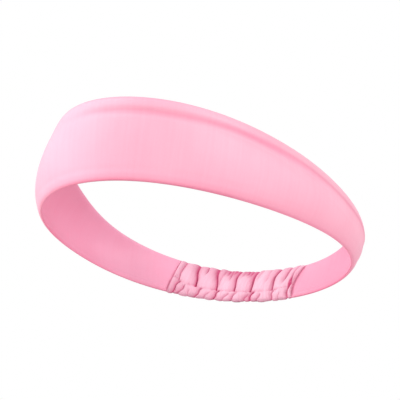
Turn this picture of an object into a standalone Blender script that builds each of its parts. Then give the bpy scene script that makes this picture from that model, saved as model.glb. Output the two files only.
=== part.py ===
"""A sports headband: a wide front band of two knit panels, sewn along both edges, whose narrow back is a ruched
casing over a strip of elastic. Metres, +Z up, the front towards -Y, standing on its lower edge."""

import math

import bmesh
import bpy
from mathutils import Vector

# The plan of the band, an oval that is fuller behind. Angles run from the front (0) to the back (180 degrees).
HALF_BREADTH = 0.0775
HALF_LENGTH = 0.0935
BACK_FULLNESS = 0.107  # share by which the plan is wider behind than in front
SIDE_FULLNESS = 0.038  # share by which the plan is narrower at the sides
WIDEST_SETBACK = 0.0143  # how far behind the middle the widest place lies

# Quantities that change round the band, as (front, side, back).
BAND_WIDTH = (0.0397, 0.0322, 0.0213)
TOP_INSET = (-0.0046, 0.0062, -0.0133)  # how far the top edge stands inside the lower one
CROWN = (0.0013, 0.0077, -0.0005)  # how far the middle of the width bulges out
RIM_ARCH = 0.0077  # rise of the lower edge at the sides
RIM_ARCH_SETBACK = 0.0046  # how much more it rises behind the sides than in front of them

# The layers.
BAND_THICKNESS = 0.0024
PANEL_THICKNESS = 0.0006
CASING_THICKNESS = 0.0044
CASING_WALL = 0.0009
ELASTIC_THICKNESS = 0.0012
ELASTIC_WIDTH = 0.0140
ALLOWANCE_THICKNESS = 0.0006
ALLOWANCE_WIDTH = 0.0060
GAP = 0.0003  # between pieces that touch

# The ruched back, between the two joint seams.
BACK_CENTRE = math.radians(181.5)
BACK_SPAN = math.radians(45.5)
JOINT_LENGTH = 0.0016  # of a joint seam, along the band
CASING_SEAM_SHARE = 0.33  # height of the casing's lengthwise seam, as a share of the width
CASING_SEAM_WIDTH = 0.0010
CASING_SEAM_THICKNESS = 0.0005
TACK_SHARE = 0.62
TACK_LENGTH = 0.0036
TACK_WIDTH = 0.0012
TACK_THICKNESS = 0.0006

PANEL_STEPS = 60
BACK_STEPS = 16
FACE_STEPS = 6  # facets up the face of a panel or of the casing
EDGE_STEPS = 2  # facets round a quarter of an edge

PINK = (0.93, 0.47, 0.60)
DEEP_PINK = (0.78, 0.27, 0.42)
PALE_ELASTIC = (0.88, 0.84, 0.84)


def around(values, angle):
    """The value at an angle of a quantity that is given at the front, the side and the back."""
    front, side, back = values
    along = math.cos(angle)
    return side * math.sin(angle) ** 2 + along**2 * (front + back) / 2 + along * (front - back) / 2


def plan_point(angle):
    """The lower edge's place in plan."""
    fullness = 1 - BACK_FULLNESS * math.cos(angle) + SIDE_FULLNESS * math.cos(2 * angle)
    return Vector(
        (
            HALF_BREADTH * math.sin(angle) * fullness,
            WIDEST_SETBACK * math.sin(angle) ** 2 - HALF_LENGTH * math.cos(angle),
            0.0,
        )
    )


def plan_slope(angle):
    """How the plan's point moves as the angle grows, in metres per radian."""
    small = 1e-3
    return (plan_point(angle + small) - plan_point(angle - small)) / (2 * small)


def angle_of(distance, angle):
    """The angle that covers a short distance along the band at this angle."""
    return distance / plan_slope(angle).length


def wall_point(angle, share, depth=0.0, rise=0.0):
    """A point of the wall: share of the width up from the lower edge, then depth outwards and rise upwards from
    the middle surface, both square to it."""
    slope = plan_slope(angle)
    outward = Vector((slope.y, -slope.x, 0.0)).normalized()
    width, inset, crown = around(BAND_WIDTH, angle), around(TOP_INSET, angle), around(CROWN, angle)
    rim = math.sin(angle) ** 2 * (RIM_ARCH - RIM_ARCH_SETBACK * math.cos(angle))
    out = 4 * crown * share * (1 - share) - inset * share
    point = plan_point(angle) + outward * out + Vector((0, 0, rim + width * share))
    up = (outward * (4 * crown * (1 - 2 * share) - inset) + Vector((0, 0, width))).normalized()
    square = outward * up.z - Vector((0, 0, 1)) * up.dot(outward)
    return point + square * depth + up * rise


def edge_arc(angle, share, radius, depth_left, side, upwards):
    """A quarter round of the wall's edge, from the middle plane to the face on one side (+1 outside, -1 inside)."""
    first = math.asin(min(1.0, depth_left / radius))
    turns = [first + (math.pi / 2 - first) * step / EDGE_STEPS for step in range(EDGE_STEPS)]
    return [
        wall_point(angle, share, side * radius * math.sin(turn), upwards * radius * math.cos(turn))
        for turn in turns
    ]


def face_run(angle, thickness, offset, side):
    """One face from its lower edge's middle to its upper edge's, at an offset inside a wall of that thickness."""
    inset_share = thickness / 2 / around(BAND_WIDTH, angle)
    low, high = inset_share, 1 - inset_share
    radius = thickness / 2 - offset
    shares = [low + (high - low) * step / FACE_STEPS for step in range(FACE_STEPS + 1)]
    middle = [wall_point(angle, share, side * radius) for share in shares]
    below = edge_arc(angle, low, radius, GAP / 2, side, -1)
    above = edge_arc(angle, high, radius, GAP / 2, side, 1)
    return below + middle + above[::-1]


def panel_section(angle, side):
    """The section of one panel: a face of the band that curls half-way round both edges."""
    outside = face_run(angle, BAND_THICKNESS, 0.0, side)
    inside = face_run(angle, BAND_THICKNESS, PANEL_THICKNESS, side)
    return outside + inside[::-1]


def tube_section(angle, thickness, offset):
    """The closed section of a flat tube."""
    return face_run(angle, thickness, offset, 1) + face_run(angle, thickness, offset, -1)[::-1]


def strip_section(angle, low_share, high_share, thickness, depth=0.0):
    """The section of a flat strip that lies along the wall."""
    shares = [low_share, (low_share + high_share) / 2, high_share]
    front = [wall_point(angle, share, depth + thickness / 2) for share in shares]
    rear = [wall_point(angle, share, depth - thickness / 2) for share in shares]
    return front + rear[::-1]


def angles_between(start, end, steps):
    return [start + (end - start) * step / steps for step in range(steps + 1)]


def fabric(name, colour, roughness):
    material = bpy.data.materials.new(name)
    material.use_nodes = True
    shader = material.node_tree.nodes["Principled BSDF"]
    shader.inputs["Base Color"].default_value = (*colour, 1.0)
    shader.inputs["Roughness"].default_value = roughness
    shader.inputs["Metallic"].default_value = 0.0
    return material


def add_piece(name, mesh, colour, roughness=0.7):
    """Puts a finished bmesh in the scene as one named piece."""
    bmesh.ops.recalc_face_normals(mesh, faces=mesh.faces)
    data = bpy.data.meshes.new(name)
    mesh.to_mesh(data)
    mesh.free()
    data.shade_smooth()
    data.set_sharp_from_angle(angle=math.radians(50))
    data.materials.append(fabric(name + "_cloth", colour, roughness))
    piece = bpy.data.objects.new(name, data)
    bpy.context.scene.collection.objects.link(piece)
    return piece


def join_loops(mesh, first, second):
    """Walls between two closed loops of equally many points."""
    count = len(first)
    for index in range(count):
        after = (index + 1) % count
        mesh.faces.new((first[index], first[after], second[after], second[index]))


def add_loops(mesh, sections):
    """Joins sections into a skin without ends, and returns its first and last loop."""
    loops = [[mesh.verts.new(point) for point in section] for section in sections]
    for first, second in zip(loops, loops[1:]):
        join_loops(mesh, first, second)
    return loops[0], loops[-1]


def solid_along(sections):
    """A solid whose sections follow each other along the band."""
    mesh = bmesh.new()
    first, last = add_loops(mesh, sections)
    mesh.faces.new(first)
    mesh.faces.new(last)
    return mesh


def hollow_along(outer_sections, inner_sections):
    """A tube that is open at both ends."""
    mesh = bmesh.new()
    outer_first, outer_last = add_loops(mesh, outer_sections)
    inner_first, inner_last = add_loops(mesh, inner_sections)
    join_loops(mesh, outer_first, inner_first)
    join_loops(mesh, outer_last, inner_last)
    return mesh


def panel(name, side, angles):
    sections = [panel_section(angle, side) for angle in angles]
    return add_piece(name, solid_along(sections), PINK)


def edge_seam(name, at_top, angles):
    """The seam allowance that lies between the panels along one edge."""
    sections = []
    for angle in angles:
        width = around(BAND_WIDTH, angle)
        edge, reach = BAND_THICKNESS / 2 / width, ALLOWANCE_WIDTH / width
        low, high = (1 - edge - reach, 1 - edge) if at_top else (edge, edge + reach)
        sections.append(strip_section(angle, low, high, ALLOWANCE_THICKNESS))
    return add_piece(name, solid_along(sections), DEEP_PINK, 0.85)


def back_casing(angles):
    outer = [tube_section(angle, CASING_THICKNESS, 0.0) for angle in angles]
    inner = [tube_section(angle, CASING_THICKNESS, CASING_WALL) for angle in angles]
    return add_piece("back_casing", hollow_along(outer, inner), PINK)


def elastic_strip(angles):
    sections = []
    for angle in angles:
        half = ELASTIC_WIDTH / 2 / around(BAND_WIDTH, angle)
        sections.append(strip_section(angle, 0.5 - half, 0.5 + half, ELASTIC_THICKNESS))
    return add_piece("elastic_strip", solid_along(sections), PALE_ELASTIC, 0.8)


def casing_seam(angles):
    """The seam that closes the casing, along its inner face."""
    depth = -(CASING_THICKNESS / 2 + GAP + CASING_SEAM_THICKNESS / 2)
    sections = []
    for angle in angles:
        half = CASING_SEAM_WIDTH / 2 / around(BAND_WIDTH, angle)
        low, high = CASING_SEAM_SHARE - half, CASING_SEAM_SHARE + half
        sections.append(strip_section(angle, low, high, CASING_SEAM_THICKNESS, depth))
    return add_piece("casing_seam", solid_along(sections), DEEP_PINK, 0.8)


def joint_seam(name, start, end):
    sections = [tube_section(angle, BAND_THICKNESS, 0.0) for angle in angles_between(start, end, 2)]
    return add_piece(name, solid_along(sections), DEEP_PINK, 0.85)


def tack(name, start, end):
    """A short bar of thread that holds the end of the elastic, on the casing's inner face."""
    depth = -(CASING_THICKNESS / 2 + GAP + TACK_THICKNESS / 2)
    sections = []
    for angle in angles_between(start, end, 2):
        half = TACK_WIDTH / 2 / around(BAND_WIDTH, angle)
        sections.append(strip_section(angle, TACK_SHARE - half, TACK_SHARE + half, TACK_THICKNESS, depth))
    return add_piece(name, solid_along(sections), DEEP_PINK, 0.8)


def stand_on_origin(pieces):
    """Moves the whole band so that the middle of its base is the origin."""
    points = [vertex.co for piece in pieces for vertex in piece.data.vertices]
    low = Vector([min(point[axis] for point in points) for axis in range(3)])
    high = Vector([max(point[axis] for point in points) for axis in range(3)])
    base = Vector(((low.x + high.x) / 2, (low.y + high.y) / 2, low.z))
    for piece in pieces:
        for vertex in piece.data.vertices:
            vertex.co -= base


def main():
    for leftover in list(bpy.data.objects):
        bpy.data.objects.remove(leftover)

    # The joint on the -X side comes after the back, the one on the +X side before it.
    near_joint, far_joint = BACK_CENTRE - BACK_SPAN / 2, BACK_CENTRE + BACK_SPAN / 2
    gap, joint = angle_of(GAP, near_joint), angle_of(JOINT_LENGTH, near_joint)
    inner_start, inner_end = near_joint + joint / 2, far_joint - joint / 2
    panel_angles = angles_between(
        far_joint + joint / 2 + gap - 2 * math.pi, near_joint - joint / 2 - gap, PANEL_STEPS
    )
    casing_angles = angles_between(inner_start + gap, inner_end - gap, BACK_STEPS)
    tack_angle = angle_of(TACK_LENGTH, near_joint)
    seam_angles = angles_between(inner_start + gap, inner_end - gap, BACK_STEPS)

    pieces = [
        panel("outer_panel", 1, panel_angles),
        panel("inner_panel", -1, panel_angles),
        edge_seam("upper_edge_seam", True, panel_angles),
        edge_seam("lower_edge_seam", False, panel_angles),
        back_casing(casing_angles),
        elastic_strip(casing_angles),
        casing_seam(seam_angles),
        joint_seam("right_joint_seam", near_joint - joint / 2, near_joint + joint / 2),
        joint_seam("left_joint_seam", far_joint - joint / 2, far_joint + joint / 2),
        tack("right_tack", inner_start + gap, inner_start + gap + tack_angle),
        tack("left_tack", inner_end - gap - tack_angle, inner_end - gap),
    ]
    stand_on_origin(pieces)


main()
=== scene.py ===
"""The cloth, seams and ruched back of a stretch-knit sports headband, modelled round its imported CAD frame."""

import math

import bpy
import numpy as np
from bpy.props import FloatProperty, FloatVectorProperty, IntProperty, PointerProperty
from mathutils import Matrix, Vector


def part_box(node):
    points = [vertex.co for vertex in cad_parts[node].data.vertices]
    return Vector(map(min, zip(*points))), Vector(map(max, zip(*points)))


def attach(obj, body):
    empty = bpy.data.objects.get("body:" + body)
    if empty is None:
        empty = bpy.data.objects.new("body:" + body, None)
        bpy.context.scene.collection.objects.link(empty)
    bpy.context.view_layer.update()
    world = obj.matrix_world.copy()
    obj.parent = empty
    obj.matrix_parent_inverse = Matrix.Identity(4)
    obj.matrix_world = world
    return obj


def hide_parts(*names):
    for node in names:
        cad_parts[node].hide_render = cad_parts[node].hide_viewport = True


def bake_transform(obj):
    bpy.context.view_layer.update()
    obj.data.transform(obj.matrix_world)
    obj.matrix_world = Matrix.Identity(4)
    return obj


bl_info = {
    "name": "Sports headband",
    "version": (1, 0, 0),
    "blender": (4, 5, 0),
    "location": "3D View > Sidebar > Headband",
    "description": "Models the knit panels, seams and ruched elastic back of a sports headband",
    "category": "Add Mesh",
}

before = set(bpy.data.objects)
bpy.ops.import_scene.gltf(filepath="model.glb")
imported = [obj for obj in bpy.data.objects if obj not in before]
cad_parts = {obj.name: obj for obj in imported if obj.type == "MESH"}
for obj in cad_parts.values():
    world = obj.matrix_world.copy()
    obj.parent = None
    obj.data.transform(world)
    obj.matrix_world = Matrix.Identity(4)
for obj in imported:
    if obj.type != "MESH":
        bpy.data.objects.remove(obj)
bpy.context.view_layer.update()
BACK_BODY = "ruched_back"

# At (front, side, back): the upper edge's height above the lower one, its inset, and the bulge halfway up.
BAND_WIDTH = (0.0397, 0.0322, 0.0213)
TOP_INSET = (-0.0046, 0.0062, -0.0133)
CROWN = (0.0013, 0.0077, -0.0005)

# Creases inside the ruched back, over and under its seam: (place at the edge, at the seam, depth, reach).
# Places are shares of its length from the left joint, and reach is a share of the way to the seam.
UPPER_CREASES = (
    (0.048, 0.055, 0.60, 1.0),
    (0.156, 0.211, 1.00, 1.0),
    (0.226, 0.254, 0.60, 0.45),
    (0.306, 0.384, 1.00, 1.0),
    (0.363, 0.398, 0.40, 0.9),
    (0.398, 0.415, 0.80, 0.38),
    (0.423, 0.459, 0.55, 0.6),
    (0.450, 0.468, 0.75, 0.34),
    (0.476, 0.522, 0.95, 1.0),
    (0.512, 0.566, 0.45, 0.5),
    (0.547, 0.570, 0.80, 0.34),
    (0.580, 0.600, 0.75, 0.38),
    (0.616, 0.656, 1.00, 1.0),
    (0.653, 0.705, 0.35, 0.6),
    (0.725, 0.760, 0.30, 0.7),
    (0.798, 0.828, 0.95, 1.0),
    (0.895, 0.910, 0.70, 0.8),
    (0.960, 0.985, 0.55, 1.0),
)
LOWER_CREASES = (
    (0.047, 0.069, 0.80, 1.0),
    (0.095, 0.134, 0.70, 0.9),
    (0.165, 0.190, 0.40, 0.6),
    (0.233, 0.264, 0.80, 1.0),
    (0.300, 0.350, 0.50, 0.7),
    (0.375, 0.402, 0.90, 1.0),
    (0.443, 0.496, 0.60, 0.8),
    (0.504, 0.550, 0.70, 0.9),
    (0.611, 0.646, 0.60, 0.8),
    (0.651, 0.676, 0.95, 1.0),
    (0.709, 0.758, 0.60, 0.7),
    (0.828, 0.845, 0.75, 1.0),
    (0.890, 0.905, 0.40, 0.6),
    (0.962, 0.975, 0.80, 1.0),
)
OUTER_CREASE_COUNT = 15
CREASE_SEED = 7


class HeadbandShape(bpy.types.PropertyGroup):
    """Sizes of the band and its cloth."""

    half_breadth: FloatProperty(
        name="Half breadth", description="Scale of the plan across", default=0.0775, unit="LENGTH"
    )
    half_length: FloatProperty(
        name="Half length", description="Half the plan from front to back", default=0.0935, unit="LENGTH"
    )
    back_fullness: FloatProperty(
        name="Back fullness", description="Share by which the plan is wider behind", default=0.107
    )
    side_fullness: FloatProperty(
        name="Side fullness", description="Share by which the plan is narrower at the sides", default=0.038
    )
    widest_setback: FloatProperty(
        name="Widest setback", description="How far behind the middle it is widest", default=0.0143,
        unit="LENGTH",
    )
    rim_arch: FloatProperty(
        name="Rim arch", description="Rise of the lower edge at the sides", default=0.0077, unit="LENGTH"
    )
    rim_arch_setback: FloatProperty(
        name="Rim arch setback", description="Extra rise behind the sides", default=0.0046, unit="LENGTH"
    )
    cad_thickness: FloatProperty(
        name="CAD thickness", description="Thickness of the band in the frame", default=0.0024, unit="LENGTH"
    )
    knit_thickness: FloatProperty(
        name="Knit thickness", description="Thickness of one layer of jersey", default=0.00045, unit="LENGTH"
    )
    half_edge: FloatProperty(
        name="Half edge", description="Half the band's thickness over the seam allowances", default=0.00110,
        unit="LENGTH",
    )
    half_middle: FloatProperty(
        name="Half middle", description="Half the band's thickness between the allowances", default=0.00074,
        unit="LENGTH",
    )
    fold_reach: FloatProperty(
        name="Fold reach", description="How far in from each edge the cloth rounds over", default=0.0024,
        unit="LENGTH",
    )
    roll_height: FloatProperty(
        name="Roll height", description="How far the outer panel stands out over the seam allowances",
        default=0.00120, unit="LENGTH",
    )
    upper_allowance: FloatProperty(
        name="Upper allowance", description="Width of the upper seam allowance", default=0.0064,
        unit="LENGTH",
    )
    valley_drop: FloatProperty(
        name="Valley drop", description="How much lower the upper valley runs at the right", default=0.0115,
        unit="LENGTH",
    )
    lower_allowance: FloatProperty(
        name="Lower allowance", description="Width of the lower seam allowance", default=0.0050,
        unit="LENGTH",
    )
    left_joint: FloatProperty(
        name="Left joint", description="Angle of the foot of the left joint seam",
        default=math.radians(207.2), subtype="ANGLE",
    )
    left_lean: FloatProperty(
        name="Left lean", description="How far the left joint seam leans over its height",
        default=math.radians(4.0), subtype="ANGLE",
    )
    right_joint: FloatProperty(
        name="Right joint", description="Angle of the foot of the right joint seam",
        default=math.radians(160.1), subtype="ANGLE",
    )
    right_bow: FloatProperty(
        name="Right bow", description="How far the right joint seam is pulled in halfway up",
        default=math.radians(1.5), subtype="ANGLE",
    )
    casing_half: FloatProperty(
        name="Casing half", description="Half the thickness of the ruched casing", default=0.0031,
        unit="LENGTH",
    )
    crease_depth: FloatProperty(
        name="Crease depth", description="Depth of the deepest creases", default=0.0028, unit="LENGTH"
    )
    crease_width: FloatProperty(
        name="Crease width", description="Reach of a crease to each side", default=0.0015, unit="LENGTH"
    )
    seam_share: FloatProperty(
        name="Casing seam height", description="The casing's seam at mid-back, as a share of the width",
        default=0.22,
    )
    stitch_count: IntProperty(name="Stitches", description="Stitches along the casing seam", default=34)


class HeadbandColours(bpy.types.PropertyGroup):
    """Colours of the cloth, with its painted light and shade, and of the thread and floor."""

    knit: FloatVectorProperty(
        name="Knit", description="Colour of the jersey", subtype="COLOR", size=3,
        default=(0.99, 0.475, 0.60),
    )
    # The darker end of the jersey's random tone, and the colour of its painted shade along folds, in valleys
    # and inside.
    knit_deep: FloatVectorProperty(
        name="Deep knit", description="Colour in the jersey's hollows", subtype="COLOR", size=3,
        default=(0.84, 0.22, 0.36),
    )
    # Paler than the knit, though the same jersey: painted light on the puffs of the casing's inner face.
    ruched: FloatVectorProperty(
        name="Ruched knit", description="Colour of the jersey where it puffs up", subtype="COLOR", size=3,
        default=(0.92, 0.60, 0.72),
    )
    # The colour of the painted shade in the casing's creases and seam, and the darker end of its random tone.
    crease: FloatVectorProperty(
        name="Crease", description="Colour of the jersey deep in the creases", subtype="COLOR", size=3,
        default=(0.58, 0.055, 0.18),
    )
    # Darker than the knit, though the same jersey: painted shade inside the band.
    lining: FloatVectorProperty(
        name="Lining", description="Colour of the jersey inside", subtype="COLOR", size=3,
        default=(0.90, 0.415, 0.57),
    )
    thread: FloatVectorProperty(
        name="Thread", description="Colour of the sewing thread", subtype="COLOR", size=3,
        default=(0.78, 0.20, 0.34),
    )
    elastic: FloatVectorProperty(
        name="Elastic", description="Colour of the elastic", subtype="COLOR", size=3,
        default=(0.83, 0.74, 0.75),
    )
    floor: FloatVectorProperty(
        name="Floor", description="Colour of the floor", subtype="COLOR", size=3,
        default=(0.86, 0.86, 0.86),
    )


class HeadbandStage(bpy.types.PropertyGroup):
    """Camera and lights."""

    azimuth: FloatProperty(
        name="Azimuth", description="Direction of the camera round the band", default=math.radians(20.96),
        subtype="ANGLE",
    )
    elevation: FloatProperty(
        name="Elevation", description="Angle of the camera above the level", default=math.radians(-18.51),
        subtype="ANGLE",
    )
    roll: FloatProperty(
        name="Roll", description="Roll of the camera", default=math.radians(7.13), subtype="ANGLE"
    )
    distance: FloatProperty(
        name="Distance", description="From the camera to its aim", default=1.0624, unit="LENGTH"
    )
    aim_x: FloatProperty(
        name="Aim X", description="How far to the right the camera aims", default=0.0060, unit="LENGTH"
    )
    aim_z: FloatProperty(
        name="Aim Z", description="How high up the band the camera aims", default=0.0243, unit="LENGTH"
    )
    lens: FloatProperty(name="Lens", description="Focal length in millimetres", default=191.45)
    key_power: FloatProperty(name="Key", description="Watts of the light at the left front", default=16.5)
    left_power: FloatProperty(name="Left", description="Watts of the light at the left", default=7.5)
    front_power: FloatProperty(name="Front", description="Watts of the light in front", default=1.5)
    right_power: FloatProperty(name="Right", description="Watts of the light at the right", default=11.5)
    sky_strength: FloatProperty(
        name="Sky", description="Brightness of the light from all round", default=0.54
    )


# ---- the wall's shape

FIT_GRID = (181, 41)  # samples of the wall's front half, which place it in the frame
LENGTH_ANGLES = 2881  # samples of two turns each way, for lengths along the wall
SLOPE_STEP = 1e-4

def around(values, angle):
    """The value at each angle of a quantity that is given at the front, the side and the back."""
    front, side, back = values
    along = np.cos(angle)
    return side * np.sin(angle) ** 2 + along**2 * (front + back) / 2 + along * (front - back) / 2


def cloth_width(angle):
    """Width of the cloth at each angle, measured up the wall's slope."""
    return np.hypot(around(BAND_WIDTH, angle), around(TOP_INSET, angle))


def smooth(low, high, value):
    """0 below low, 1 above high, and an even slope between them."""
    t = np.clip((value - low) / (high - low), 0.0, 1.0)
    return t * t * (3 - 2 * t)


class Wall:
    """The middle surface of the band, as a function of angle and of the share of its width."""

    def __init__(self, shape):
        self.shape = shape
        self.shift = np.zeros(3)
        angles = np.linspace(-math.pi / 2, math.pi / 2, FIT_GRID[0])
        half = shape.cad_thickness / 2
        skin = [self.points(angles, share, half) for share in np.linspace(0, 1, FIT_GRID[1])]
        rim = self.points(angles, half / around(BAND_WIDTH, angles), rise=-half)
        low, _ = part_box("outer_panel")
        self.shift[1] = low.y - np.array(skin)[..., 1].min()
        self.shift[2] = low.z - rim[..., 2].min()
        self.lengths = self._lengths()

    def plan(self, angle):
        s = self.shape
        fullness = 1 - s.back_fullness * np.cos(angle) + s.side_fullness * np.cos(2 * angle)
        across = s.half_breadth * np.sin(angle) * fullness
        along = s.widest_setback * np.sin(angle) ** 2 - s.half_length * np.cos(angle)
        return np.stack([across, along], -1)

    def points(self, angle, share, depth=0.0, rise=0.0):
        """Points at a share of the width, then depth outwards and rise upwards, both square to the wall."""
        s = self.shape
        slope = (self.plan(angle + SLOPE_STEP) - self.plan(angle - SLOPE_STEP)) / (2 * SLOPE_STEP)
        slope = slope / np.linalg.norm(slope, axis=-1, keepdims=True)
        outward = np.stack([slope[..., 1], -slope[..., 0]], -1)
        width, inset, crown = around(BAND_WIDTH, angle), around(TOP_INSET, angle), around(CROWN, angle)
        rim = np.sin(angle) ** 2 * (s.rim_arch - s.rim_arch_setback * np.cos(angle))
        lean = 4 * crown * (1 - 2 * share) - inset
        length = np.hypot(width, lean)
        out = 4 * crown * share * (1 - share) - inset * share + (depth * width + rise * lean) / length
        height = rim + width * share + (rise * width - depth * lean) / length
        plan = self.plan(angle) + outward * out[..., None]
        return np.concatenate([plan, height[..., None]], -1) + self.shift

    def _lengths(self):
        """Lengths along the middle of the band at even angles, for cloth that is measured in metres."""
        angles = np.linspace(-2 * math.pi, 2 * math.pi, LENGTH_ANGLES)
        line = self.points(angles, 0.5)
        steps = np.linalg.norm(np.diff(line, axis=0), axis=1)
        return angles, np.concatenate([[0.0], np.cumsum(steps)])

    def length_at(self, angle):
        return np.interp(angle, *self.lengths)


def wall():
    return Wall(bpy.context.scene.headband_shape)


def joint_angles(shape, share):
    """The angles of the right and the left joint seam at a share of the width."""
    bowed = 4 * share * (1 - share)
    return shape.right_joint + shape.right_bow * bowed, shape.left_joint - shape.left_lean * share


# ---- meshes


def deselect():
    if bpy.context.object and bpy.context.object.mode != "OBJECT":
        bpy.ops.object.mode_set(mode="OBJECT")
    bpy.ops.object.select_all(action="DESELECT")


def select(*pieces):
    """Selects these pieces alone, and makes the first one active."""
    deselect()
    for piece in pieces:
        piece.select_set(True)
    bpy.context.view_layer.objects.active = pieces[0]


def cloth_grid(name, columns, rows):
    """A flat rectangular cut of cloth, and its points as shares of its length and height."""
    deselect()
    bpy.ops.mesh.primitive_grid_add(x_subdivisions=columns, y_subdivisions=rows, size=1.0, calc_uvs=True)
    piece = bpy.context.object
    piece.name = name
    piece.data.name = name
    flat = coordinates(piece)
    return piece, flat[:, 0] + 0.5, flat[:, 1] + 0.5


def coordinates(piece):
    points = np.zeros(len(piece.data.vertices) * 3, np.float32)
    piece.data.vertices.foreach_get("co", points)
    return points.reshape(-1, 3).astype(float)


def place(piece, points):
    piece.data.vertices.foreach_set("co", np.asarray(points, np.float32).ravel())
    piece.data.update()


def cloth_map(piece, along, up):
    """Sets the UV map in metres of flat cloth, from each point's place."""
    layer = piece.data.uv_layers.active or piece.data.uv_layers.new(name="UVMap")
    corners = np.zeros(len(piece.data.loops), np.int64)
    piece.data.loops.foreach_get("vertex_index", corners)
    layer.data.foreach_set("uv", np.stack([along[corners], up[corners]], -1).astype(np.float32).ravel())


def point_value(piece, name, values):
    attribute = piece.data.attributes.new(name, "FLOAT", "POINT")
    attribute.data.foreach_set("value", np.asarray(values, np.float32))


def apply_modifier(piece, kind, **settings):
    select(piece)
    modifier = piece.modifiers.new(kind.title(), kind)
    for setting, value in settings.items():
        setattr(modifier, setting, value)
    bpy.ops.object.modifier_apply(modifier=modifier.name)


def edit_all(piece, operator, **settings):
    select(piece)
    bpy.ops.object.mode_set(mode="EDIT")
    bpy.ops.mesh.select_all(action="SELECT")
    operator(**settings)
    bpy.ops.object.mode_set(mode="OBJECT")


def thicken(piece, thickness):
    """Gives a sheet of cloth its thickness, on the side away from its face."""
    apply_modifier(piece, "SOLIDIFY", thickness=thickness, offset=-1.0, use_even_offset=False)
    piece.data.shade_smooth()


def dress(piece, material):
    piece.data.materials.clear()
    piece.data.materials.append(material)


# ---- materials

KNIT_COLUMN_PITCH = 0.00052
KNIT_ROW_PITCH = 0.00040
WEFT_PITCH = 0.0008

class Nodes:
    """A short way to write a material's nodes."""

    def __init__(self, name):
        self.material = bpy.data.materials.new(name)
        self.material.use_nodes = True
        self.tree = self.material.node_tree
        self.shader = self.tree.nodes["Principled BSDF"]

    def add(self, kind, inputs=(), **settings):
        node = self.tree.nodes.new(kind)
        for setting, value in settings.items():
            setattr(node, setting, value)
        for socket, value in dict(inputs).items():
            self.put(node.inputs[socket], value)
        return node

    def put(self, socket, value):
        if isinstance(value, bpy.types.NodeSocket):
            self.tree.links.new(value, socket)
        else:
            socket.default_value = value

    def look(self, inputs):
        """Sets the shader's own inputs."""
        for socket, value in inputs.items():
            self.put(self.shader.inputs[socket], value)

    def math(self, operation, first, second=0.0):
        return self.add("ShaderNodeMath", {0: first, 1: second}, operation=operation).outputs[0]

    def total(self, value, *more):
        for item in more:
            value = self.math("ADD", value, item)
        return value

    def ripple(self, place, pitch):
        return self.math("SINE", self.math("MULTIPLY", place, 2 * math.pi / pitch))

    def bump(self, height, strength, distance):
        inputs = {"Strength": strength, "Distance": distance, "Height": height}
        return self.add("ShaderNodeBump", inputs).outputs[0]

    def mix(self, share, first, second):
        return self.add("ShaderNodeMix", {0: share, 6: first, 7: second}, data_type="RGBA").outputs[2]

    def noise(self, where, scale, detail=2.0, roughness=0.5):
        inputs = {"Vector": where, "Scale": scale, "Detail": detail, "Roughness": roughness}
        return self.add("ShaderNodeTexNoise", inputs).outputs["Fac"]

    def map_range(self, value, low, high, to_low, to_high):
        inputs = {"Value": value, "From Min": low, "From Max": high, "To Min": to_low, "To Max": to_high}
        return self.add("ShaderNodeMapRange", inputs).outputs[0]


def jersey(name, colour, deep, sheen, outside=None):
    """Fine stretch jersey, a little darker at random. A value on each piece paints shade on it in the deep
    colour, and its outside value gives the outside colour.
    """
    n = Nodes(name)
    cloth = n.add("ShaderNodeUVMap", uv_map="UVMap").outputs[0]
    place_on = n.add("ShaderNodeTexCoord").outputs["Object"]
    parts = n.add("ShaderNodeSeparateXYZ", {"Vector": cloth})
    columns = n.math("MULTIPLY", n.ripple(parts.outputs[0], KNIT_COLUMN_PITCH), 0.7)
    knit = n.total(columns, n.math("MULTIPLY", n.ripple(parts.outputs[1], KNIT_ROW_PITCH), 0.3))
    streak_place = n.add("ShaderNodeMapping", {"Vector": cloth, "Scale": (650.0, 26.0, 1.0)}).outputs[0]
    streaks = n.noise(streak_place, 1.0, 2.0)
    clouds = n.noise(place_on, 34.0, 3.0)
    fuzz = n.noise(place_on, 2600.0, 2.0)

    tone = n.total(
        n.map_range(streaks, 0.3, 0.7, -0.035, 0.035),
        n.map_range(clouds, 0.3, 0.7, -0.08, 0.08),
        n.math("MULTIPLY", knit, 0.06),
        n.map_range(fuzz, 0.3, 0.7, -0.06, 0.06),
    )
    # The piece's painted shade, which mixes in the deep colour.
    hollow = n.add("ShaderNodeAttribute", attribute_name="hollow").outputs["Fac"]
    share = n.add("ShaderNodeClamp", {"Value": n.total(tone, 0.09, hollow)}).outputs[0]
    flat_colour = (*colour, 1.0)
    if outside:
        outer_face = n.add("ShaderNodeAttribute", attribute_name="outside").outputs["Fac"]
        flat_colour = n.mix(outer_face, flat_colour, (*outside, 1.0))
    height = n.total(
        n.math("MULTIPLY", knit, 0.5), n.math("MULTIPLY", fuzz, 0.6), n.math("MULTIPLY", streaks, 0.1)
    )
    n.look({
        "Base Color": n.mix(share, flat_colour, (*deep, 1.0)),
        "Roughness": n.map_range(n.total(fuzz, streaks), 0.6, 1.4, 0.50, 0.62),
        "Normal": n.bump(height, 0.22, 0.00012),
        "Sheen Weight": sheen,
        "Sheen Roughness": 0.40,
        "Specular IOR Level": 0.6,
    })
    return n.material


def thread_material(name, colour):
    """Spun sewing thread: a twist along it, with painted shade between its strands."""
    n = Nodes(name)
    place_on = n.add("ShaderNodeTexCoord").outputs["Object"]
    inputs = {"Vector": place_on, "Scale": 900.0, "Distortion": 1.5}
    wave = n.add("ShaderNodeTexWave", inputs, bands_direction="DIAGONAL")
    fuzz = n.noise(place_on, 3000.0)
    # Painted shade between the strands, mixed along the twist.
    dark = tuple(channel * 0.6 for channel in colour)
    n.look({
        "Base Color": n.mix(wave.outputs["Fac"], (*dark, 1.0), (*colour, 1.0)),
        "Roughness": n.map_range(fuzz, 0.3, 0.7, 0.45, 0.7),
        "Normal": n.bump(wave.outputs["Fac"], 0.5, 0.0001),
        "Sheen Weight": 0.3,
    })
    return n.material


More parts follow.
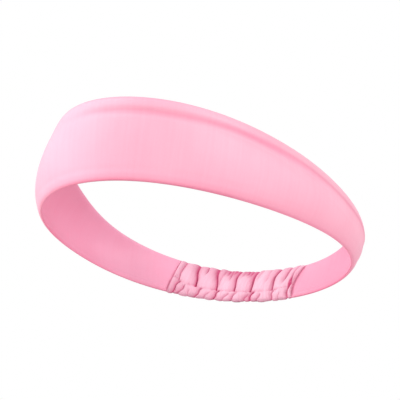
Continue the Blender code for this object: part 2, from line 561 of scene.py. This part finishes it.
def elastic_material(name, colour):
    """Woven elastic: ribs of covered rubber, crossed by fine weft."""
    n = Nodes(name)
    cloth = n.add("ShaderNodeUVMap", uv_map="UVMap").outputs[0]
    parts = n.add("ShaderNodeSeparateXYZ", {"Vector": cloth})
    weft = n.ripple(parts.outputs[0], WEFT_PITCH)
    fuzz = n.noise(n.add("ShaderNodeTexCoord").outputs["Object"], 2000.0)
    share = n.map_range(n.total(weft, fuzz), -0.6, 1.4, 0.0, 1.0)
    dark = tuple(channel * 0.7 for channel in colour)
    n.look({
        "Base Color": n.mix(share, (*dark, 1.0), (*colour, 1.0)),
        "Roughness": n.map_range(fuzz, 0.3, 0.7, 0.6, 0.8),
        "Normal": n.bump(share, 0.4, 0.0002),
    })
    return n.material


def shared_material(name, make, *values):
    """The material of this name, made once. Names among the values stand for colours in the settings."""
    settings = bpy.context.scene.headband_colours
    values = [tuple(getattr(settings, item)) if isinstance(item, str) else item for item in values]
    return bpy.data.materials.get(name) or make(name, *values)


def outer_jersey():
    return shared_material("pink_jersey", jersey, "knit", "knit_deep", 0.06)


def lining_jersey():
    return shared_material("lining_jersey", jersey, "lining", "knit_deep", 0.05)


def ruched_jersey():
    # Inside, paler with painted light and darker with painted shade in the creases; outside, the knit's own
    # colour.
    return shared_material("ruched_jersey", jersey, "ruched", "crease", 0.05, "knit")


def sewing_thread():
    return shared_material("sewing_thread", thread_material, "thread")


def woven_elastic():
    return shared_material("woven_elastic", elastic_material, "elastic")


# ---- the panels

EDGE_ROWS = 6  # rows of cloth round each folded edge
FACE_ROWS = 66
PANEL_COLUMNS = 420
EDGE_TURN = math.radians(88)  # how far round each panel's cloth folds at an edge
END_TUCK = 0.0010  # length over which the panels close on each other at a joint seam
THINNEST_HALF = 0.00050
WAVER = 0.00006  # how far the faces waver
# Place and reach of the painted shade in the valley under the upper allowance.
VALLEY_OFFSET = 0.0009  # from an allowance's end to the middle of the shade
VALLEY_REACH = 0.0015
WIDTH_GRID = (241, 25)  # samples for the width of cloth along the band
ALLOWANCE_GRID = (260, 8)
ALLOWANCE_THICKNESS = 0.00036
ALLOWANCE_INSET = 0.0004  # narrower than the ridge over it
ALLOWANCE_MARGIN = 0.02  # angle left free at each end


def over_allowance(height, reach, step):
    """How far cloth stands out over a seam allowance: a roll up to 1, then a valley below 0 at its end."""
    roll = 1 - smooth(reach - step, reach + step * 0.35, height)
    roll = roll * (0.55 + 0.45 * smooth(0, reach * 0.5, height))
    valley = np.exp(-(((height - reach - step * 0.45) / (step * 0.75)) ** 2))
    return roll - 0.55 * valley


def upper_reach(shape, angle):
    """How far below the upper edge the outer valley runs: stretched cloth pulls it down at the right."""
    drop = shape.valley_drop * smooth(0.55, 1.75, angle) * (1 - smooth(1.85, 2.5, angle))
    return shape.upper_allowance + drop


def half_thickness(shape, angle, low_height, high_height, outside):
    """Half the band's thickness at heights above its lower and below its upper edge. The allowances press
    towards the outer panel, so the lining lies almost flat over them."""
    turn = np.abs(angle)
    # The upper ridge shows in front, at the right and behind the left side, flatter round the right side.
    upper = 0.07 + 0.93 * np.maximum(smooth(-0.60, 0.60, angle), smooth(1.7, 2.4, -angle))
    upper = upper * (1 - 0.75 * smooth(1.1, 1.6, angle) * (1 - smooth(2.1, 2.5, angle)))
    lower = 0.16 - 0.08 * smooth(0.5, 1.1, turn) + 0.2 * smooth(1.5, 2.4, turn)
    if outside:
        stand = upper * over_allowance(high_height, upper_reach(shape, angle), 0.0024)
        stand = stand + lower * over_allowance(low_height, shape.lower_allowance, 0.0020)
    else:
        stand = over_allowance(low_height, shape.lower_allowance * 0.7, 0.0008)
        stand = 0.10 * smooth(2.2, 2.6, turn) * stand
    return np.maximum(shape.half_middle + shape.roll_height * stand, THINNEST_HALF)


def panel_points(band, side, along, up):
    """Places on one face of the band, for shares along it and over it from fold to fold, and on the cloth."""
    shape = band.shape
    rows = EDGE_ROWS * 2 + FACE_ROWS
    row = up * rows
    turn_low = np.clip((EDGE_ROWS - row) / EDGE_ROWS, 0, 1) * EDGE_TURN
    turn_high = np.clip((row - EDGE_ROWS - FACE_ROWS) / EDGE_ROWS, 0, 1) * EDGE_TURN
    turn = turn_low + turn_high
    face = np.clip((row - EDGE_ROWS) / FACE_ROWS, 0, 1)
    right, left = joint_angles(shape, face)
    start, end = left - 2 * math.pi, right
    angle = start + (end - start) * along
    width = around(BAND_WIDTH, angle)
    edge = shape.fold_reach / width
    share = edge + (1 - 2 * edge) * face
    low_height, high_height = share * width, (1 - share) * width
    thick = half_thickness(shape, angle, low_height, high_height, side > 0)
    thick = thick + WAVER * np.sin(3.1 * angle + 200 * low_height) * np.sin(7 * angle)
    length = band.length_at(angle)
    to_end = np.minimum(length - band.length_at(start), band.length_at(end) - length)
    tuck = np.sqrt(np.clip(1 - (1 - np.clip(to_end / END_TUCK, 0, 1)) ** 2, 0.0, 1.0))
    thick = thick * (0.30 + 0.70 * tuck)
    rise = np.where(turn_low > 0, -1.0, 1.0) * np.sin(turn) * shape.fold_reach
    points = band.points(angle, share, side * thick * np.cos(turn), rise)
    height = low_height - shape.fold_reach * (np.sin(turn_low) - np.sin(turn_high))
    return points, length, height


def knit_panel(name, side):
    """One panel of jersey round the band, with its painted shade, flat cut and area. side is 1 outside and -1
    inside.
    """
    band = wall()
    piece, along, up = cloth_grid(name, PANEL_COLUMNS, EDGE_ROWS * 2 + FACE_ROWS)
    if side < 0:
        along = 1 - along
    points, length, height = panel_points(band, side, along, up)
    place(piece, points)
    cloth_map(piece, length, height)
    width = np.interp(length, *panel_widths(band))
    length_share = (length - length.min()) / np.ptp(length)
    near = np.minimum(height, width - height)
    # Painted shade along both folded edges.
    hollow = 0.40 * (1 - smooth(0.0, 0.0022, near))
    if side > 0:
        # Painted shade towards the outer face's lower edge, from about the middle on towards the right joint.
        hollow = hollow + 0.24 * (1 - smooth(0.001, 0.008, height)) * smooth(0.30, 0.55, length_share)
        # Painted shade in the valley under the upper allowance, from about the middle on.
        angle = np.interp(length, band.lengths[1], band.lengths[0])
        from_end = (width - height - upper_reach(band.shape, angle) - VALLEY_OFFSET) / VALLEY_REACH
        hollow = hollow + 0.60 * smooth(0.38, 0.62, length_share) * np.exp(-(from_end**2))
    else:
        # Painted shade on the lining, strong from near the left joint, fading close to the right joint.
        right_end = smooth(0.93, 1.0, length_share)
        hollow = hollow + 0.42 * smooth(0.02, 0.26, length_share) * (1 - 0.8 * right_end)
    point_value(piece, "hollow", hollow)
    thicken(piece, band.shape.knit_thickness)
    cut = (width.max() + 2 * band.shape.half_edge, length.max() - length.min())
    return piece, cut, float(width.mean() * np.ptp(length))


def panel_widths(band):
    """Lengths along the band and the width of cloth there."""
    angles = np.linspace(-math.pi, math.pi, WIDTH_GRID[0])
    lines = np.array([band.points(angles, share) for share in np.linspace(0, 1, WIDTH_GRID[1])])
    widths = np.linalg.norm(np.diff(lines, axis=0), axis=2).sum(0)
    return band.length_at(angles), widths


def stretch_with_back(piece):
    """Bakes the piece's placing into its points."""
    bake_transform(piece)


class HEADBAND_OT_outer_panel(bpy.types.Operator):
    """Model the outer knit panel"""

    bl_idname = "headband.outer_panel"
    bl_label = "Outer panel"

    def execute(self, context):
        piece, cut, area = knit_panel("outer_knit", 1)
        dress(piece, outer_jersey())
        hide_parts("outer_panel")
        stretch_with_back(piece)
        return {"FINISHED"}


class HEADBAND_OT_inner_panel(bpy.types.Operator):
    """Model the inner knit panel"""

    bl_idname = "headband.inner_panel"
    bl_label = "Inner panel"

    def execute(self, context):
        piece, cut, area = knit_panel("inner_knit", -1)
        dress(piece, lining_jersey())
        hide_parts("inner_panel")
        stretch_with_back(piece)
        return {"FINISHED"}


def seam_allowance(name, at_top):
    """The overlocked strip that lies between the panels along one edge, with its flat cut."""
    band = wall()
    shape = band.shape
    piece, along, up = cloth_grid(name, *ALLOWANCE_GRID)
    reach = (shape.upper_allowance if at_top else shape.lower_allowance) - ALLOWANCE_INSET
    right, left = joint_angles(shape, 0.5)
    start, end = left - 2 * math.pi + ALLOWANCE_MARGIN, right - ALLOWANCE_MARGIN
    angle = start + (end - start) * along
    width = cloth_width(angle)
    edge = shape.half_edge / width
    height = reach * up / width
    share = (1 - edge - reach / width) + height if at_top else edge + height
    place(piece, band.points(angle, share, ALLOWANCE_THICKNESS / 2))
    length = band.length_at(angle)
    cloth_map(piece, length, up * reach)
    thicken(piece, ALLOWANCE_THICKNESS)
    return piece, (reach, float(np.ptp(length)))


class HEADBAND_OT_edge_seams(bpy.types.Operator):
    """Model the seam allowances inside both edges"""

    bl_idname = "headband.edge_seams"
    bl_label = "Edge seams"

    def execute(self, context):
        for node, at_top in (("upper_edge_seam", True), ("lower_edge_seam", False)):
            piece, cut = seam_allowance(node.replace("_seam", "_allowance"), at_top)
            dress(piece, sewing_thread())
            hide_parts(node)
            stretch_with_back(piece)
        return {"FINISHED"}


# ---- the ruched back

CASING_GRID = (440, 108)
CASING_FULLNESS = 1.4  # the casing's cut over its gathered length
CASING_END_TUCK = 0.0014
CASING_HEIGHT = 0.97  # the casing's height as a share of the band's
THINNEST_CASING_HALF = 0.0009
FACE_TURN = 2.6  # how flat the casing's faces are: 2 is an ellipse
BACK_WIDTH = 0.024  # for distances from the casing's seam
EDGE_DIP = 0.0010  # how deep the creases cut into the casing's edges
EDGE_WAVE = 0.0002
RIGHT_LIFT = 0.0006  # how far the upper edge rises towards the right
# Middle and reach of the painted shade where the casing is pinched at the right joint.
PINCH_SHADE = (0.972, 0.42)  # along and up, at the right joint
PINCH_SHADE_REACH = (0.012, 0.18)
WELD_DISTANCE = 0.00001
ELASTIC_GRID = (90, 56)
ELASTIC_WIDTH = 0.014
ELASTIC_THICKNESS = 0.0006
ELASTIC_RIBS = 8
ELASTIC_RIB_HEIGHT = 0.00010
ELASTIC_DEPTH = 0.0003  # outwards of the casing's middle
ELASTIC_MARGIN = 0.012  # angle left free at each end
STITCH_RADIUS = 0.00013
STITCH_LIFT = 0.00005
STITCH_SINK = 0.00018  # how far the ends of a stitch go down
TACK_RADIUS = 0.00018
TACK_LIFT = 0.0001
# Each tack's two bars of thread, between places along and up the casing's inner face.
TACKS = {
    "left_tack": (((0.012, 0.46), (0.040, 0.52)), ((0.012, 0.53), (0.038, 0.45))),
    "right_tack": (((0.988, 0.40), (0.955, 0.47)), ((0.988, 0.47), (0.960, 0.39))),
}
JOINT_SEAM_GRID = (10, 64)
JOINT_SEAM_LENGTH = 0.0030
JOINT_SEAM_HALF = 0.00065
JOINT_SEAM_CLOTH = 0.0004  # its cloth's thickness
JOINT_SEAM_LOOP = 0.05  # its cloth's length round the tube
BACK_RADIUS = 0.085


def crease_field(creases, place_along, height, length, width):
    """How deep the creases are and how much painted shade they get, from 0 to 1. height is 0 at the seam and 1
    at the edge, where they are widest. Each fold leans, and its painted shade is darker on one flank."""
    flat = np.ones(place_along.shape)
    light = np.ones(place_along.shape)
    for at_edge, at_seam, depth, reach in creases:
        middle = at_seam + (at_edge - at_seam) * height + 0.005 * np.sin(7 * height + 40 * at_edge)
        apart = (place_along - middle) * length
        far = np.abs(apart)
        before = apart < 0
        spread = width * (0.35 + 0.65 * depth) * (0.5 + 0.5 * reach) * (0.65 + 0.7 * height)
        flank = np.where(before, 0.80, 0.50) * np.exp(-far / (spread * np.where(before, 1.5, 1.2)))
        cleft = np.where(before, 0.20, 0.50) * np.exp(-far / (spread * 0.35))
        fade = smooth(1 - reach - 0.10, 1 - reach + 0.25, height) if reach < 1 else 1.0
        here = depth * fade * (0.80 + 0.22 * height)
        flat = flat * (1 - np.clip(here, 0, 0.98) * (flank + cleft))
        # Painted shade: a broad dark flank on one side of each crease and a narrow dark line at it.
        shade = np.where(before, 0.56, 0.36) * np.exp(-far / (spread * np.where(before, 1.8, 0.9)))
        shade = shade + np.where(before, 0.36, 0.56) * np.exp(-far / (spread * np.where(before, 0.6, 0.25)))
        light = light * (1 - np.clip(here, 0, 1) * shade)
    return 1 - flat, 1 - light


def seam_height(shape, along):
    """The casing seam's height, as a share of the width: it climbs towards both joint seams."""
    return shape.seam_share + 0.24 * np.exp(-along / 0.10) + 0.17 * np.exp(-(1 - along) / 0.08)


def outer_creases(count):
    """Creases on the back's outer face, spaced unevenly but the same each time."""
    rng = np.random.default_rng(CREASE_SEED)
    places = (np.arange(count) + 0.5) / count + rng.uniform(-0.35, 0.35, count) / count
    leans = rng.uniform(-0.03, 0.03, count)
    return [
        (float(p), float(p + lean), float(depth), 1.0)
        for p, lean, depth in zip(places, leans, rng.uniform(0.4, 1.0, count))
    ]


def tube(up, height=1.0):
    """Round a tube of cloth, up its outer face and down its inner one: whether outside, the share of the
    width, and how far out, from -1 to 1."""
    outside = up < 0.5
    climb = np.where(outside, up * 2, 2 - up * 2)
    share = 0.5 + 0.5 * np.sin((climb - 0.5) * math.pi) * height
    open_by = np.clip(1 - np.abs(2 * share - 1) ** FACE_TURN, 0, 1) ** (1 / FACE_TURN)
    return outside, share, np.where(outside, open_by, -open_by)


def casing_creases(shape, along, share, at_edge, outside, length):
    """How deep the casing's creases are and their painted shade, and how deep its inner face's are. The outer
    face's give way to those at the edges."""
    seam = seam_height(shape, along)
    above = smooth(seam - 0.015, seam + 0.015, share)
    width = shape.crease_width
    upper_height = np.clip((share - seam) / (1 - seam), 0, 1)
    lower_height = np.clip((seam - share) / seam, 0, 1)
    upper = crease_field(UPPER_CREASES, along, upper_height, length, width)
    lower = crease_field(LOWER_CREASES, along, lower_height, length, width * 0.8)
    inner, shade = (high * above + low * (1 - above) for high, low in zip(upper, lower))
    outer, outer_shade = crease_field(outer_creases(OUTER_CREASE_COUNT), along, share, length, width * 1.6)
    crease = np.where(outside, outer * (1 - at_edge) + inner * at_edge, inner)
    # Fainter painted shade in the outer face's creases.
    shade = np.where(outside, 0.34 * outer_shade * (1 - at_edge) + shade * at_edge, shade)
    return crease, shade, inner


def ruched_points(band, along, up):
    """Places on the casing, for shares along it from the left joint and round it, their places on the cloth and
    the painted shade there."""
    shape = band.shape
    outside, share, outward = tube(up)
    at_edge = smooth(0.80, 1.0, np.abs(2 * share - 1))
    right, left = joint_angles(shape, share)
    angle = left + (right - left) * along
    length = band.length_at(left) - band.length_at(right)
    crease, shade, inner = casing_creases(shape, along, share, at_edge, outside, length)

    from_seam = np.abs(share - seam_height(shape, along)) * BACK_WIDTH
    groove = (0.55 * np.exp(-from_seam / 0.0004) + 0.45 * np.exp(-from_seam / 0.0020)) * (1 - outside)
    groove = groove * (0.55 + 0.25 * np.sin(29 * along + 1.0) * np.sin(67 * along))
    wrinkle = np.sin(150 * along + 6 * share + 2 * np.sin(31 * along)) * np.sin(47 * along + 3 * share)
    puff = 1 + 0.07 * np.sin(37 * along + 3 * share) + 0.05 * wrinkle
    hollow = 1 - (1 - crease) * (1 - 0.62 * groove)
    thick = np.maximum(shape.casing_half * puff - shape.crease_depth * hollow, THINNEST_CASING_HALF)
    to_end = np.minimum(along, 1 - along) * length
    tuck = np.sqrt(np.clip(1 - (1 - np.clip(to_end / CASING_END_TUCK, 0, 1)) ** 2, 0, 1))
    thick = thick * (0.25 + 0.75 * tuck)

    edge_rise = EDGE_WAVE * np.sin(61 * along) - EDGE_DIP * np.clip(inner - 0.35, 0, 1)
    edge_rise = np.sign(share - 0.5) * at_edge * edge_rise
    lift = RIGHT_LIFT * smooth(0.7, 1.0, share) * smooth(0.45, 0.75, along) * (1 - smooth(0.93, 1.0, along))
    share_in = 0.5 + (share - 0.5) * CASING_HEIGHT
    points = band.points(angle, share_in, thick * outward, edge_rise + lift)
    loop_length = np.where(outside, share, 2 - share) * around(BAND_WIDTH, angle)
    # Painted shade, darker along the seam and in its groove.
    shade = shade * (0.85 + 0.35 * np.exp(-from_seam / 0.0012)) + 0.35 * groove
    # Painted shade where the casing is pinched at the right joint.
    pinch_along, pinch_up = (along - PINCH_SHADE[0]) / PINCH_SHADE_REACH[0], (share - PINCH_SHADE[1]) / PINCH_SHADE_REACH[1]
    pinch_shade = np.exp(-(pinch_along**2) - pinch_up**2) * (1 - outside)
    return points, along * length, loop_length, np.clip(shade + 0.6 * pinch_shade, 0, 1)


class HEADBAND_OT_ruched_casing(bpy.types.Operator):
    """Model the gathered casing at the back"""

    bl_idname = "headband.ruched_casing"
    bl_label = "Ruched casing"

    def execute(self, context):
        band = wall()
        piece, along, up = cloth_grid("ruched_casing", *CASING_GRID)
        # The cut runs from the right joint to the left one, so that its face is outwards.
        points, length, height, shade = ruched_points(band, 1 - along, up)
        place(piece, points)
        cloth_map(piece, length * CASING_FULLNESS, height)
        # Painted shade of the creases, the seam and the pinch, towards the crease colour.
        point_value(piece, "hollow", 1.45 * shade)
        # The outer face has the knit's own colour, and the inner face the paler one with painted light.
        point_value(piece, "outside", smooth(0.0, 0.04, up) * (1 - smooth(0.46, 0.50, up)))
        edit_all(piece, bpy.ops.mesh.remove_doubles, threshold=WELD_DISTANCE)
        thicken(piece, band.shape.knit_thickness)
        dress(piece, ruched_jersey())
        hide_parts("back_casing")
        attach(piece, BACK_BODY)
        return {"FINISHED"}


class HEADBAND_OT_elastic(bpy.types.Operator):
    """Model the elastic inside the casing"""

    bl_idname = "headband.elastic"
    bl_label = "Elastic"

    def execute(self, context):
        band = wall()
        piece, along, up = cloth_grid("elastic_band", *ELASTIC_GRID)
        right, left = joint_angles(band.shape, 0.5)
        angle = (right + ELASTIC_MARGIN) + (left - right - 2 * ELASTIC_MARGIN) * along
        share = 0.5 + (up - 0.5) * ELASTIC_WIDTH / cloth_width(angle)
        ribs = ELASTIC_RIB_HEIGHT * np.cos(up * 2 * math.pi * ELASTIC_RIBS)
        place(piece, band.points(angle, share, ELASTIC_DEPTH + ribs))
        cloth_map(piece, band.length_at(angle), up * ELASTIC_WIDTH)
        thicken(piece, ELASTIC_THICKNESS)
        dress(piece, woven_elastic())
        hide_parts("elastic_strip")
        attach(piece, BACK_BODY)
        span = float(np.ptp(band.length_at(angle)))
        return {"FINISHED"}


def join(pieces, name):
    select(*pieces)
    bpy.ops.object.join()
    pieces[0].name = name
    return pieces[0]


def casing_point(band, along, share):
    """A place on the casing's inner face, and the direction out of it."""
    up = 1 - (0.5 + math.asin(2 * share - 1) / math.pi) / 2
    points = ruched_points(band, np.array([along, along + 0.002, along]), np.array([up, up, up - 0.003]))[0]
    square = np.cross(points[1] - points[0], points[2] - points[0])
    square = square / np.linalg.norm(square)
    inwards = -points[0].copy()
    inwards[2] = 0.0
    if square @ inwards < 0:
        square = -square
    return points[0], square


def stitch(band, name, first, last, radius, lift):
    """A short rounded length of thread between two places on the casing, bent down at its ends."""
    start, square = casing_point(band, *first)
    end, _ = casing_point(band, *last)
    start, end = start + square * lift, end + square * lift
    deselect()
    bpy.ops.mesh.primitive_uv_sphere_add(segments=8, ring_count=6, radius=1.0)
    piece = bpy.context.object
    piece.name = name
    ball = coordinates(piece)
    reach = np.linalg.norm(end - start)
    along = (end - start) / reach
    sink = -STITCH_SINK * np.abs(ball[:, 2]) ** 3
    points = (start + end) / 2 + np.outer(ball[:, 2] * reach / 2, along)
    points = points + np.outer(ball[:, 0] * radius, np.cross(square, along))
    place(piece, points + np.outer(ball[:, 1] * radius + sink, square))
    piece.data.shade_smooth()
    return piece


class HEADBAND_OT_casing_seam(bpy.types.Operator):
    """Model the stitches of the casing's lengthwise seam"""

    bl_idname = "headband.casing_seam"
    bl_label = "Casing seam"

    def execute(self, context):
        band = wall()
        count = band.shape.stitch_count
        stitches = []
        for index in range(count):
            first, last = (index + 0.62) / (count + 1), (index + 1.38) / (count + 1)
            ends = [(along, seam_height(band.shape, along)) for along in (first, last)]
            stitches.append(stitch(band, f"stitch_{index}", *ends, STITCH_RADIUS, STITCH_LIFT))
        piece = join(stitches, "casing_stitches")
        dress(piece, sewing_thread())
        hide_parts("casing_seam")
        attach(piece, BACK_BODY)
        return {"FINISHED"}


def joint_seam(name, left_side):
    """The sewn layers between a panel's end and the casing: a flat tube in the groove between them."""
    band = wall()
    piece, along, up = cloth_grid(name, *JOINT_SEAM_GRID)
    _, share, outward = tube(up, CASING_HEIGHT)
    right, left = joint_angles(band.shape, share)
    angle = (left if left_side else right) + (along - 0.5) * JOINT_SEAM_LENGTH / BACK_RADIUS
    thick = JOINT_SEAM_HALF * (0.6 + 0.4 * np.cos((along - 0.5) * math.pi))
    place(piece, band.points(angle, share, thick * outward))
    cloth_map(piece, band.length_at(angle), up * JOINT_SEAM_LOOP)
    edit_all(piece, bpy.ops.mesh.remove_doubles, threshold=WELD_DISTANCE / 2)
    thicken(piece, JOINT_SEAM_CLOTH)
    return piece


class HEADBAND_OT_joint_seams(bpy.types.Operator):
    """Model the seams between the panels and the casing"""

    bl_idname = "headband.joint_seams"
    bl_label = "Joint seams"

    def execute(self, context):
        for node, left_side in (("left_joint_seam", True), ("right_joint_seam", False)):
            piece = joint_seam(node.replace("_seam", "_allowance"), left_side)
            dress(piece, sewing_thread())
            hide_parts(node)
            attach(piece, BACK_BODY)
        return {"FINISHED"}


class HEADBAND_OT_tacks(bpy.types.Operator):
    """Model the thread that holds the elastic's ends"""

    bl_idname = "headband.tacks"
    bl_label = "Elastic tacks"

    def execute(self, context):
        band = wall()
        for node, places in TACKS.items():
            bars = [
                stitch(band, f"{node}_{index}", *ends, TACK_RADIUS, TACK_LIFT)
                for index, ends in enumerate(places)
            ]
            piece = join(bars, node.replace("_tack", "_elastic_tack"))
            dress(piece, sewing_thread())
            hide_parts(node)
            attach(piece, BACK_BODY)
        return {"FINISHED"}


# ---- the stage

FLOOR_RADIUS = 6.0
FLOOR_GAP = 0.0002  # under the band
# Name, place, size and the setting for the power.
LIGHTS = (
    ("key_softbox", (-1.05, -0.98, 1.00), 0.8, "key_power"),
    ("left_softbox", (-1.55, 0.0, 0.62), 1.5, "left_power"),
    ("front_softbox", (0.6, -1.6, 0.24), 0.8, "front_power"),
    ("right_softbox", (1.40, -0.35, 0.80), 0.8, "right_power"),
)

def one_sided_floor():
    """A pale floor that is only there from above, since the band is also looked at from below."""
    n = Nodes("pale_floor")
    n.look({"Base Color": (*bpy.context.scene.headband_colours.floor, 1.0), "Roughness": 0.9})
    clear = n.add("ShaderNodeBsdfTransparent")
    behind = n.add("ShaderNodeNewGeometry").outputs["Backfacing"]
    mix = n.add("ShaderNodeMixShader", {0: behind, 1: n.shader.outputs[0], 2: clear.outputs[0]})
    output = next(node for node in n.tree.nodes if node.type == "OUTPUT_MATERIAL")
    n.put(output.inputs["Surface"], mix.outputs[0])
    return n.material


def add_light(name, location, size, power):
    """A round soft light that faces the middle of the floor."""
    bpy.ops.object.light_add(type="AREA", location=location)
    lamp = bpy.context.object
    lamp.name = name
    lamp.data.shape = "DISK"
    lamp.data.size = size
    lamp.data.energy = power
    lamp.rotation_euler = vector(location).to_track_quat("Z", "Y").to_euler()


def vector(values):
    return Vector([float(value) for value in values])


def add_camera(stage):
    azimuth, elevation, roll = stage.azimuth, stage.elevation, stage.roll
    level = np.array([math.cos(azimuth), math.sin(azimuth), 0.0])
    forwards = np.array([-math.sin(azimuth), math.cos(azimuth), 0.0])
    back = np.array([0.0, 0.0, math.sin(elevation)]) - math.cos(elevation) * forwards
    right = math.cos(roll) * level + math.sin(roll) * np.cross(back, level)
    up = np.cross(back, right)
    aim = wall().shift + np.array([stage.aim_x, 0.0, stage.aim_z])
    bpy.ops.object.camera_add(location=vector(aim + back * stage.distance))
    camera = bpy.context.object
    turned = Matrix([vector(right), vector(up), vector(back)]).transposed()
    camera.rotation_euler = turned.to_euler()
    camera.data.lens = stage.lens
    camera.data.sensor_width = 36.0
    camera.data.clip_start = 0.01
    camera.data.clip_end = 50.0
    bpy.context.scene.camera = camera


def light_sky(strength):
    """Even light from all round, seen as plain white."""
    world = bpy.data.worlds.new("pale_sky")
    bpy.context.scene.world = world
    world.use_nodes = True
    tree = world.node_tree
    sky = tree.nodes["Background"]
    sky.inputs["Color"].default_value = (1.0, 1.0, 1.0, 1.0)
    seen = tree.nodes.new("ShaderNodeLightPath").outputs["Is Camera Ray"]
    level = tree.nodes.new("ShaderNodeMapRange")
    tree.links.new(seen, level.inputs["Value"])
    level.inputs["To Min"].default_value = strength
    level.inputs["To Max"].default_value = 1.0
    tree.links.new(level.outputs[0], sky.inputs["Strength"])


class HEADBAND_OT_stage(bpy.types.Operator):
    """Set up the floor, the lights and the camera"""

    bl_idname = "headband.stage"
    bl_label = "Stage"

    def execute(self, context):
        stage = context.scene.headband_stage
        deselect()
        bpy.ops.mesh.primitive_circle_add(
            vertices=64, radius=FLOOR_RADIUS, fill_type="NGON", location=(0, 0, -FLOOR_GAP)
        )
        floor = context.object
        floor.name = "floor"
        floor.data.materials.append(one_sided_floor())
        for name, location, size, power in LIGHTS:
            add_light(name, location, size, getattr(stage, power))
        light_sky(stage.sky_strength)
        add_camera(stage)
        context.scene.view_settings.view_transform = "Standard"
        return {"FINISHED"}


class HEADBAND_PT_sidebar(bpy.types.Panel):
    """Lists the headband's pieces"""

    bl_label = "Headband"
    bl_idname = "HEADBAND_PT_sidebar"
    bl_space_type = "VIEW_3D"
    bl_region_type = "UI"
    bl_category = "Headband"

    def draw(self, context):
        for operator in OPERATORS:
            self.layout.operator(operator.bl_idname)
        scene = context.scene
        for group in (scene.headband_shape, scene.headband_colours, scene.headband_stage):
            column = self.layout.column()
            for name in group.__annotations__:
                column.prop(group, name)


OPERATORS = (
    HEADBAND_OT_stage,
    HEADBAND_OT_outer_panel,
    HEADBAND_OT_inner_panel,
    HEADBAND_OT_edge_seams,
    HEADBAND_OT_ruched_casing,
    HEADBAND_OT_elastic,
    HEADBAND_OT_casing_seam,
    HEADBAND_OT_joint_seams,
    HEADBAND_OT_tacks,
)
CLASSES = (HeadbandShape, HeadbandColours, HeadbandStage, *OPERATORS, HEADBAND_PT_sidebar)


def register():
    for item in CLASSES:
        bpy.utils.register_class(item)
    bpy.types.Scene.headband_shape = PointerProperty(type=HeadbandShape)
    bpy.types.Scene.headband_colours = PointerProperty(type=HeadbandColours)
    bpy.types.Scene.headband_stage = PointerProperty(type=HeadbandStage)


def unregister():
    del bpy.types.Scene.headband_stage
    del bpy.types.Scene.headband_colours
    del bpy.types.Scene.headband_shape
    for item in reversed(CLASSES):
        bpy.utils.unregister_class(item)


def main():
    register()
    bpy.ops.headband.stage()
    bpy.ops.headband.outer_panel()
    bpy.ops.headband.inner_panel()
    bpy.ops.headband.edge_seams()
    bpy.ops.headband.ruched_casing()
    bpy.ops.headband.elastic()
    bpy.ops.headband.casing_seam()
    bpy.ops.headband.joint_seams()
    bpy.ops.headband.tacks()


if __name__ == "__main__":
    main()
